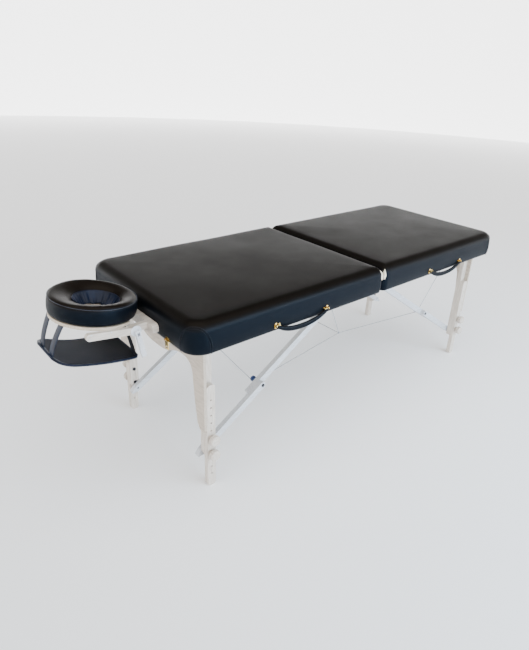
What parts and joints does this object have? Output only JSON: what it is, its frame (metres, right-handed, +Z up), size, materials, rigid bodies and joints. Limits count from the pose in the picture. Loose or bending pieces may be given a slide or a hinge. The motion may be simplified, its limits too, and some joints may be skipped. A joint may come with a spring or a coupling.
{
  "type": "portable massage table",
  "caption": "Padded folding massage table on braced wooden legs that adjust in height, with carrying handles and a face cradle with an arm sling.",
  "frame": {"origin": "on the floor under the middle of the whole open object's box", "axes": "+Z up, +X from the face cradle towards the foot end, -Y the side with the carrying handles"},
  "size_m": [2.2305, 0.7745, 0.7768],
  "materials": {
    "vinyl": "satin",
    "foam": "matte",
    "maple": "satin",
    "plywood": "matte",
    "panel": "satin",
    "brass": "polished",
    "steel": "brushed",
    "black_metal": "satin",
    "knob": "satin",
    "spool": "matte",
    "cable": "satin",
    "grip": "matte",
    "cushion": "satin",
    "sling": "matte",
    "lever": "satin"
  },
  "bodies": {
    "head_section": {"head_deck": "plywood", "head_frame_rails": "maple", "head_foam": "foam", "head_cover": "vinyl", "head_hinge_leaves": "brass", "head_handle_mounts": "brass", "head_brace_brackets": "maple", "head_leg_axle": "steel", "head_stay_cables": "cable", "latch_plates": "brass"},
    "head_leg": {"head_leg_posts": "maple", "head_end_panel": "panel", "head_leg_bolts": "black_metal"},
    "head_upper_brace": {"head_upper_struts": "maple", "head_cable_spools": "spool"},
    "head_lower_brace": {"head_lower_struts": "maple", "head_knee_bolts": "black_metal"},
    "head_handle_grip": {"head_handle": "grip"},
    "foot_section": {"foot_deck": "plywood", "foot_frame_rails": "maple", "foot_foam": "foam", "foot_cover": "vinyl", "foot_hinge_leaves": "brass", "foot_handle_mounts": "brass", "foot_brace_brackets": "maple", "foot_leg_axle": "steel", "foot_stay_cables": "cable", "latch_catches": "brass"},
    "foot_leg": {"foot_leg_posts": "maple", "foot_end_panel": "panel", "foot_leg_bolts": "black_metal"},
    "foot_upper_brace": {"foot_upper_struts": "maple", "foot_cable_spools": "spool"},
    "foot_lower_brace": {"foot_lower_struts": "maple", "foot_knee_bolts": "black_metal"},
    "foot_handle_grip": {"foot_handle": "grip"},
    "centre_pins": {"hinge_pins": "steel", "centre_cables": "cable"},
    "head_front_extension": {"head_front_leg_extension": "maple"},
    "head_front_lower_knob_body": {"head_front_lower_knob": "knob"},
    "head_front_upper_knob_body": {"head_front_upper_knob": "knob"},
    "head_back_extension": {"head_back_leg_extension": "maple"},
    "head_back_lower_knob_body": {"head_back_lower_knob": "knob"},
    "head_back_upper_knob_body": {"head_back_upper_knob": "knob"},
    "foot_front_extension": {"foot_front_leg_extension": "maple"},
    "foot_front_lower_knob_body": {"foot_front_lower_knob": "knob"},
    "foot_front_upper_knob_body": {"foot_front_upper_knob": "knob"},
    "foot_back_extension": {"foot_back_leg_extension": "maple"},
    "foot_back_lower_knob_body": {"foot_back_lower_knob": "knob"},
    "foot_back_upper_knob_body": {"foot_back_upper_knob": "knob"},
    "front_latch": {"front_latch_lever": "brass"},
    "back_latch": {"back_latch_lever": "brass"},
    "cradle_base": {"cradle_base_frame": "maple", "cradle_posts": "maple"},
    "cradle_top": {"cradle_arms": "maple", "cradle_axle": "lever", "cradle_platform": "plywood", "cradle_cushion": "cushion", "cradle_arm_sling": "sling"},
    "cradle_lever": {"cradle_cam_lever": "lever"}
  },
  "joints": [
    {"name": "centre_fold_a", "type": "hinge", "parent": "head_section", "child": "centre_pins", "pos_m": [0.1575, 0, 0.617], "axis": [0, 1, 0], "range_deg": [0, 90]},
    {"name": "centre_fold_b", "type": "hinge", "parent": "centre_pins", "child": "foot_section", "pos_m": [0.1575, 0, 0.617], "axis": [0, 1, 0], "range_deg": [0, 90]},
    {"name": "head_leg_fold", "type": "hinge", "parent": "head_section", "child": "head_leg", "pos_m": [-0.6885, 0, 0.653], "axis": [0, -1, 0], "range_deg": [0, 90], "deforming": ["head_stay_cables"]},
    {"name": "head_upper_brace_turn", "type": "hinge", "parent": "head_section", "child": "head_upper_brace", "pos_m": [0.1175, 0, 0.653], "axis": [0, 1, 0], "range_deg": [0, 32.59], "deforming": ["head_stay_cables"]},
    {"name": "head_lower_brace_turn", "type": "hinge", "parent": "head_leg", "child": "head_lower_brace", "pos_m": [-0.6885, 0, 0.138], "axis": [0, -1, 0], "range_deg": [0, 57.43]},
    {"name": "head_handle_swing", "type": "hinge", "parent": "head_section", "child": "head_handle_grip", "pos_m": [-0.321, -0.388, 0.642], "axis": [-1, 0, 0], "range_deg": [0, 110]},
    {"name": "head_front_height", "type": "slide", "parent": "head_leg", "child": "head_front_extension", "axis": [0, 0, 1], "range_m": [-0.1336, 0]},
    {"name": "head_front_lower_knob_turn", "type": "hinge", "parent": "head_leg", "child": "head_front_lower_knob_body", "pos_m": [-0.6885, -0.335, 0.1582], "axis": [0, -1, 0], "continuous": true},
    {"name": "head_front_upper_knob_turn", "type": "hinge", "parent": "head_leg", "child": "head_front_upper_knob_body", "pos_m": [-0.6885, -0.335, 0.225], "axis": [0, -1, 0], "continuous": true},
    {"name": "head_back_height", "type": "slide", "parent": "head_leg", "child": "head_back_extension", "axis": [0, 0, 1], "range_m": [-0.1336, 0]},
    {"name": "head_back_lower_knob_turn", "type": "hinge", "parent": "head_leg", "child": "head_back_lower_knob_body", "pos_m": [-0.6885, 0.335, 0.1582], "axis": [0, 1, 0], "continuous": true},
    {"name": "head_back_upper_knob_turn", "type": "hinge", "parent": "head_leg", "child": "head_back_upper_knob_body", "pos_m": [-0.6885, 0.335, 0.225], "axis": [0, 1, 0], "continuous": true},
    {"name": "foot_leg_fold", "type": "hinge", "parent": "foot_section", "child": "foot_leg", "pos_m": [1.0035, 0, 0.653], "axis": [0, 1, 0], "range_deg": [0, 90], "deforming": ["foot_stay_cables"]},
    {"name": "foot_upper_brace_turn", "type": "hinge", "parent": "foot_section", "child": "foot_upper_brace", "pos_m": [0.1975, 0, 0.653], "axis": [0, -1, 0], "range_deg": [0, 32.59], "deforming": ["foot_stay_cables"]},
    {"name": "foot_lower_brace_turn", "type": "hinge", "parent": "foot_leg", "child": "foot_lower_brace", "pos_m": [1.0035, 0, 0.138], "axis": [0, 1, 0], "range_deg": [0, 57.43]},
    {"name": "foot_handle_swing", "type": "hinge", "parent": "foot_section", "child": "foot_handle_grip", "pos_m": [0.636, -0.388, 0.642], "axis": [-1, 0, 0], "range_deg": [0, 110]},
    {"name": "foot_front_height", "type": "slide", "parent": "foot_leg", "child": "foot_front_extension", "axis": [0, 0, 1], "range_m": [-0.1336, 0]},
    {"name": "foot_front_lower_knob_turn", "type": "hinge", "parent": "foot_leg", "child": "foot_front_lower_knob_body", "pos_m": [1.0035, -0.335, 0.1582], "axis": [0, -1, 0], "continuous": true},
    {"name": "foot_front_upper_knob_turn", "type": "hinge", "parent": "foot_leg", "child": "foot_front_upper_knob_body", "pos_m": [1.0035, -0.335, 0.225], "axis": [0, -1, 0], "continuous": true},
    {"name": "foot_back_height", "type": "slide", "parent": "foot_leg", "child": "foot_back_extension", "axis": [0, 0, 1], "range_m": [-0.1336, 0]},
    {"name": "foot_back_lower_knob_turn", "type": "hinge", "parent": "foot_leg", "child": "foot_back_lower_knob_body", "pos_m": [1.0035, 0.335, 0.1582], "axis": [0, 1, 0], "continuous": true},
    {"name": "foot_back_upper_knob_turn", "type": "hinge", "parent": "foot_leg", "child": "foot_back_upper_knob_body", "pos_m": [1.0035, 0.335, 0.225], "axis": [0, 1, 0], "continuous": true},
    {"name": "front_latch_swing", "type": "hinge", "parent": "head_section", "child": "front_latch", "pos_m": [-0.7994, -0.23, 0.6275], "axis": [0, 1, 0], "range_deg": [0, 120]},
    {"name": "back_latch_swing", "type": "hinge", "parent": "head_section", "child": "back_latch", "pos_m": [-0.7994, 0.23, 0.6275], "axis": [0, 1, 0], "range_deg": [0, 120]},
    {"name": "cradle_pull_out", "type": "slide", "parent": "head_section", "child": "cradle_base", "axis": [-1, 0, 0], "range_m": [0, 0.2]},
    {"name": "cradle_tilt", "type": "hinge", "parent": "cradle_base", "child": "cradle_top", "pos_m": [-0.8705, 0, 0.656], "axis": [0, 1, 0], "range_deg": [-30, 2]},
    {"name": "cam_lever_swing", "type": "hinge", "parent": "cradle_top", "child": "cradle_lever", "pos_m": [-0.8705, -0.1687, 0.656], "axis": [-0.9839, 0, -0.1788], "range_deg": [0, 90]}
  ],
  "couplings": [
    {"joint": "head_leg_fold", "follows": "centre_fold_b", "ratio": 1},
    {"joint": "head_lower_brace_turn", "follows": "centre_fold_b", "ratio": 0.63804},
    {"joint": "head_upper_brace_turn", "follows": "centre_fold_a", "ratio": 0.36196},
    {"joint": "foot_leg_fold", "follows": "centre_fold_b", "ratio": 1},
    {"joint": "foot_lower_brace_turn", "follows": "centre_fold_b", "ratio": 0.63804},
    {"joint": "foot_upper_brace_turn", "follows": "centre_fold_a", "ratio": 0.36196}
  ]
}
